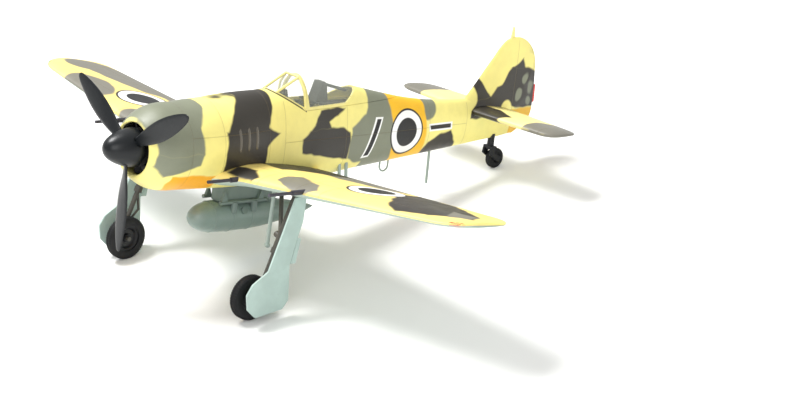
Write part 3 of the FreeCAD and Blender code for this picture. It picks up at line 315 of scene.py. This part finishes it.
materials = {
    "body": makeBodyPaint(),
    "wing": makeWingPaint(),
    "tail": makeTailPaint(),
    "under": makePlain("pale blue-grey enamel on moulded styrene", "#A9B9AC", 0.5, "#9DACA0"),
    "door": makePlain("pale blue-grey enamel, door plate", "#A6BAB3", 0.48, "#9DB0A8"),
    "tank": makePlain("blue-grey enamel, moulded tank", "#76877F", 0.34, "#6C7D75"),
    "rack": makePlain("dark blue-grey enamel, rack", "#66756F", 0.5, "#55635D"),
    "frame": makePlain("pale yellow enamel, canopy frame", "#EBDF8E", 0.42, "#D9CB7C"),
    "propeller": makePlain("satin black lacquer, propeller", "#0D1114", 0.34, "#13181B", Specular_IOR_Level=0.35),
    "dark": makePlain("matt black styrene, engine", "#101113", 0.5, "#1B1C1E", Specular_IOR_Level=0.3),
    "gun": makePlain("gunmetal lacquer, barrels", "#4C4A52", 0.38, "#77737C", Metallic=0.6),
    "strut": makePlain("brown-grey enamel, struts", "#413F38", 0.5, "#5C594C"),
    "tailStrut": makePlain("satin black enamel, tail strut", "#101215", 0.45, "#1A1D20", Specular_IOR_Level=0.35),
    "tyre": makePlain("matt black vinyl, tyres", "#0E0F11", 0.65, "#17181B", grain=0.25, Specular_IOR_Level=0.35),
    "hub": makePlain("satin black styrene, hubs", "#0C0D10", 0.4, "#17191E", Specular_IOR_Level=0.35),
    "cockpit": makePlain("dark grey cockpit enamel", "#2B2D2B", 0.6, "#3B3D3A"),
    "steel": makePlain("turned steel pin", "#9A9A98", 0.3, "#7F7F7C", Metallic=1.0),
    "red": makePlain("clear red lacquer, port lamp", "#DB2A2A", 0.2, mottle=0.03),
    "green": makePlain("clear green lacquer, starboard lamp", "#1F8A4A", 0.2, mottle=0.03),
    "tab": makePlain("red enamel, trim tab", "#C8342C", 0.45, "#A82A24"),
    "aerial": makePlain("pale grey enamel, aerials", "#93A198", 0.45, "#82908A"),
    # the gill slats' colour is the body's brown lightened to grey-brown as a painted highlight for their reflections;
    # the low roughness is the enamel's gloss
    "gill": makePlain("brown enamel lightened as painted highlight, gill slats", "#5B564E", 0.2, mottle=0.04)}


def makeClear():
    # crystal styrene panes: clear, faintly grey-green, with soft moulding ripples
    material, tree, shader = newMaterial("crystal styrene, canopy", Roughness=0.06, IOR=1.45)
    shader.inputs["Base Color"].default_value = linearColour("#D9DED2")
    shader.inputs["Alpha"].default_value = 0.14
    space = planeSpace(tree)
    ripple = addNode(tree, "TexNoise", {"Vector": space, "Scale": 0.4, "Detail": 1.0})
    bump = addNode(tree, "Bump", {"Height": ripple.outputs["Fac"], "Strength": 0.2, "Distance": 0.05 * mm})
    tree.links.new(bump.outputs[0], shader.inputs["Normal"])
    return material


materials["clear"] = makeClear()
print("materials made:", len(materials))


# ---------- piece helpers
def setMaterial(piece, material):
    piece.data.materials.clear()
    piece.data.materials.append(material)


def addPiece(name, mesh, body, material, replaced=(), smoothAngle=None):
    data = bpy.data.meshes.new(name)
    mesh.to_mesh(data)
    mesh.free()
    piece = bpy.data.objects.new(name, data)
    bpy.context.scene.collection.objects.link(piece)
    setMaterial(piece, material)
    if smoothAngle is not None:
        data.shade_smooth()
        data.set_sharp_from_angle(angle=math.radians(smoothAngle))
    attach(piece, body)
    if replaced:
        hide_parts(*replaced)
    return piece


def mergedCopy(names, dropSeam=False):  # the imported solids' faces, welded
    mesh = bmesh.new()
    for name in names:
        mesh.from_mesh(nodes[name].data)
    bmesh.ops.remove_doubles(mesh, verts=mesh.verts, dist=0.004 * mm)
    if dropSeam:
        seam = [f for f in mesh.faces if all(abs(v.co.x) < 0.002 * mm for v in f.verts)]
        bmesh.ops.delete(mesh, geom=seam, context="FACES")
    return mesh


def smoothPiece(name, cadNames, body, material, angle=32, dropSeam=False):
    return addPiece(name, mergedCopy(cadNames, dropSeam), body, material, cadNames, angle)


airframe = "airframe"
smoothPiece("bodyShell", ["fuselage_left", "fuselage_right"], airframe, materials["body"], 30, True)
smoothPiece("cowlShell", ["cowl_ring"], airframe, materials["body"])
smoothPiece("wingSkinPort", ["wing_upper_left"], airframe, materials["wing"], 25)
smoothPiece("wingSkinStarboard", ["wing_upper_right"], airframe, materials["wing"], 25)
smoothPiece("wingUnderside", ["wing_lower"], airframe, materials["under"], 25)
smoothPiece("tailplanePort", ["tailplane_left"], airframe, materials["tail"], 40)
smoothPiece("tailplaneStarboard", ["tailplane_right"], airframe, materials["tail"], 40)
smoothPiece("spinnerShell", ["spinner"], "propeller", materials["propeller"], 40)
for number in (1, 2, 3):
    smoothPiece("blade%d" % number, ["propeller_blade_%d" % number], "propeller", materials["propeller"], 60)
smoothPiece("tankShell", ["drop_tank_left", "drop_tank_right"], airframe, materials["tank"], 40, True)
smoothPiece("hoodFairing", ["hood_fairing"], "hood", materials["body"], 35)
smoothPiece("hoodPane", ["hood_glass"], "hood", materials["clear"], 30)

# ---------- tyres: spun section with raised tread blocks
def rowPoint(x, y, z):
    return toRow @ Vector((x, y, z))


mainTyre = {"radius": 4.86, "half": 1.15, "bead": 2.95, "tread": 0.13, "blocks": 54}
tailTyre = {"radius": 2.45, "half": 0.80, "bead": 1.25, "tread": 0.07, "blocks": 36}


def makeTyre(name, cadName, body, centre, size):
    section = [(0.86, size["bead"]), (1.0, size["bead"] + 0.35 * (size["radius"] - size["bead"])),
               (0.98, size["bead"] + 0.62 * (size["radius"] - size["bead"])),
               (0.84, size["radius"] - 0.12 * (size["radius"] - size["bead"]) - size["tread"]),
               (0.52, size["radius"] - size["tread"]), (0.08, size["radius"] - size["tread"])]
    loop = section + [(-across, radius) for across, radius in reversed(section)]
    mesh = bmesh.new()
    points = [mesh.verts.new((across * size["half"] * mm, 0, radius * mm)) for across, radius in loop]
    edges = [mesh.edges.new(pair) for pair in zip(points, points[1:] + points[:1])]
    bmesh.ops.spin(mesh, geom=points + edges, cent=(0, 0, 0), axis=(1, 0, 0), angle=2 * math.pi,
                   steps=size["blocks"] * 2, use_merge=True)
    bmesh.ops.remove_doubles(mesh, verts=mesh.verts, dist=0.001 * mm)
    bmesh.ops.recalc_face_normals(mesh, faces=mesh.faces)
    mesh.faces.ensure_lookup_table()
    low = (size["radius"] - size["tread"] - 0.06 * size["radius"]) * mm
    blocks = []
    for face in mesh.faces:
        middle = face.calc_center_median()
        if math.hypot(middle.y, middle.z) < low or abs(middle.x) < 0.06 * size["half"] * mm:
            continue
        step = int((math.atan2(middle.z, middle.y) / (2 * math.pi) + 1) * size["blocks"] * 2 + (middle.x > 0))
        if step % 2:
            blocks.append(face)
    raised = bmesh.ops.extrude_discrete_faces(mesh, faces=blocks)["faces"]
    for face in raised:
        for corner in face.verts:
            reach = math.hypot(corner.co.y, corner.co.z)
            corner.co.yz *= (reach + size["tread"] * mm) / reach
    bmesh.ops.translate(mesh, verts=mesh.verts, vec=centre)
    addPiece(name, mesh, body, materials["tyre"], [cadName], 30)


makeTyre("tyrePort", "tyre_left", "wheel_left", rowPoint(22.65, 24.3, -27.75), mainTyre)
makeTyre("tyreStarboard", "tyre_right", "wheel_right", rowPoint(-22.65, 24.3, -27.75), mainTyre)
makeTyre("tyreTail", "tail_tyre", "tail_wheel", rowPoint(0, 114.3, -9.5), tailTyre)
print("tyres made")

# ---------- raised gill slats on both sides, behind the cowl
gills = {"stations": (28.9, 31.5, 34.1), "middle": 2.1, "half": (0.24, 0.52, 2.5)}
shell = bmesh.new()
shell.from_mesh(bpy.data.objects["bodyShell"].data)
shell.transform(toPlane)
shellTree = BVHTree.FromBMesh(shell)
shell.free()
mesh = bmesh.new()
for side in (1, -1):
    for station in gills["stations"]:
        low = shellTree.ray_cast(Vector((20 * side, station, gills["middle"] - 2)), Vector((-side, 0, 0)))[0]
        high = shellTree.ray_cast(Vector((20 * side, station, gills["middle"] + 2)), Vector((-side, 0, 0)))[0]
        slope = math.atan2(high.x - low.x, high.z - low.z)
        place = Matrix.Translation((low + high) / 2) @ Matrix.Rotation(slope, 4, "Y")
        size = Matrix.Diagonal((*gills["half"], 1))
        bmesh.ops.create_uvsphere(mesh, u_segments=20, v_segments=24, radius=1, matrix=place @ size)
bmesh.ops.transform(mesh, matrix=toRow, verts=mesh.verts)
# the slats take the brown enamel lightened as a painted highlight, not the body's own brown
addPiece("gillSlats", mesh, airframe, materials["gill"], smoothAngle=60)

# ---------- weld rings round the drop tank
rings = {"stations": (28.6, 33.4, 38.6, 42.6), "radii": (3.37, 3.55, 3.47, 3.05), "height": -16.9, "bead": 0.11}
mesh = bmesh.new()
for station, radius in zip(rings["stations"], rings["radii"]):
    ring = bmesh.new()
    corners = []
    for number in range(8):
        turn = number * math.pi / 4
        corners.append(ring.verts.new((0, rings["bead"] * math.cos(turn), radius + rings["bead"] * math.sin(turn))))
    edges = [ring.edges.new(pair) for pair in zip(corners, corners[1:] + corners[:1])]
    bmesh.ops.spin(ring, geom=corners + edges, cent=(0, 0, 0), axis=(0, 1, 0), angle=2 * math.pi, steps=72,
                   use_merge=True)
    bmesh.ops.recalc_face_normals(ring, faces=ring.faces)
    bmesh.ops.translate(ring, verts=ring.verts, vec=(0, station, rings["height"]))
    part = bpy.data.meshes.new("ring")
    ring.to_mesh(part)
    ring.free()
    mesh.from_mesh(part)
    bpy.data.meshes.remove(part)
bmesh.ops.transform(mesh, matrix=toRow, verts=mesh.verts)
addPiece("tankRings", mesh, airframe, materials["tank"], smoothAngle=60)
print("slats and rings made")

finishOf = {
    "engine": "dark", "propeller_bearing": "steel", "cockpit_tub": "cockpit", "pilot_seat": "cockpit",
    "instrument_panel": "cockpit", "control_stick": "cockpit", "gunsight": "cockpit", "windscreen_frame": "frame",
    "windscreen_glass": "clear", "hood_frame": "frame", "headrest": "cockpit", "rudder_trim_tab": "tab",
    "fin_aerial_post": "frame", "nav_light_left": "red", "nav_light_right": "green", "gun_barrels_inner": "gun",
    "gun_barrels_outer": "gun", "loop_antenna": "aerial", "rod_antenna": "aerial", "boarding_step": "aerial",
    "hanging_mast": "aerial", "belly_rack": "rack", "sway_brace_left": "rack", "sway_brace_right": "rack",
    "tank_filler_cap": "rack", "gear_leg_left": "strut", "gear_leg_right": "strut", "torque_link_left": "strut",
    "torque_link_right": "strut", "retraction_strut_left": "strut", "retraction_strut_right": "strut",
    "gear_door_left": "door", "gear_door_right": "door", "gear_door_flaps": "door", "wheel_hub_left": "hub", "wheel_hub_right": "hub",
    "tail_wheel_hub": "hub", "tail_strut": "tailStrut", "tail_yoke": "tailStrut", "propeller_shaft": "steel",
    "cooling_fan": "dark"}
for name, finish in finishOf.items():
    setMaterial(nodes[name], materials[finish])
print("frame nodes finished:", len(finishOf))

# ---------- floor, light and camera
floor = {"size": 6.0, "colour": "#F1F1EF"}
mesh = bmesh.new()
bmesh.ops.create_grid(mesh, x_segments=1, y_segments=1, size=floor["size"] / 2)
floorData = bpy.data.meshes.new("floor")
mesh.to_mesh(floorData)
mesh.free()
floorPiece = bpy.data.objects.new("floor", floorData)
bpy.context.scene.collection.objects.link(floorPiece)
floorMaterial, floorTree, floorShader = newMaterial("pale paper floor", Roughness=0.85)
floorShader.inputs["Base Color"].default_value = linearColour(floor["colour"])
setMaterial(floorPiece, floorMaterial)

world = bpy.data.worlds.new("studio")
bpy.context.scene.world = world
world.use_nodes = True
world.node_tree.nodes["Background"].inputs["Color"].default_value = (1, 1, 1, 1)
world.node_tree.nodes["Background"].inputs["Strength"].default_value = 0.72

lamps = {"key": {"place": (-0.35, -0.15, 0.75), "size": 0.3, "power": 9.0},
         "fill": {"place": (0.55, -0.55, 0.45), "size": 0.6, "power": 3.0}}
for name, lamp in lamps.items():
    light = bpy.data.lights.new(name, "AREA")
    light.size = lamp["size"]
    light.energy = lamp["power"]
    holder = bpy.data.objects.new(name, light)
    bpy.context.scene.collection.objects.link(holder)
    holder.location = lamp["place"]
    holder.rotation_euler = (Vector((0, 0, 0.03)) - holder.location).to_track_quat("-Z", "Y").to_euler()

view = {"place": Vector((0.3691513, -0.29486, 0.2061491)), "forward": Vector((-0.702858, 0.593940, -0.391440)),
        "right": Vector((0.660268, 0.749471, -0.048371)), "lens": 101.46}
lens = bpy.data.cameras.new("camera")
lens.lens = view["lens"]
lens.sensor_width = 36.0
lens.clip_start = 0.01
camera = bpy.data.objects.new("camera", lens)
bpy.context.scene.collection.objects.link(camera)
up = view["right"].cross(view["forward"])
turn = Matrix((view["right"], up, -view["forward"])).transposed()
camera.matrix_world = Matrix.Translation(view["place"]) @ turn.to_4x4()
bpy.context.scene.camera = camera
bpy.context.scene.view_settings.view_transform = "Standard"
print("stage set")
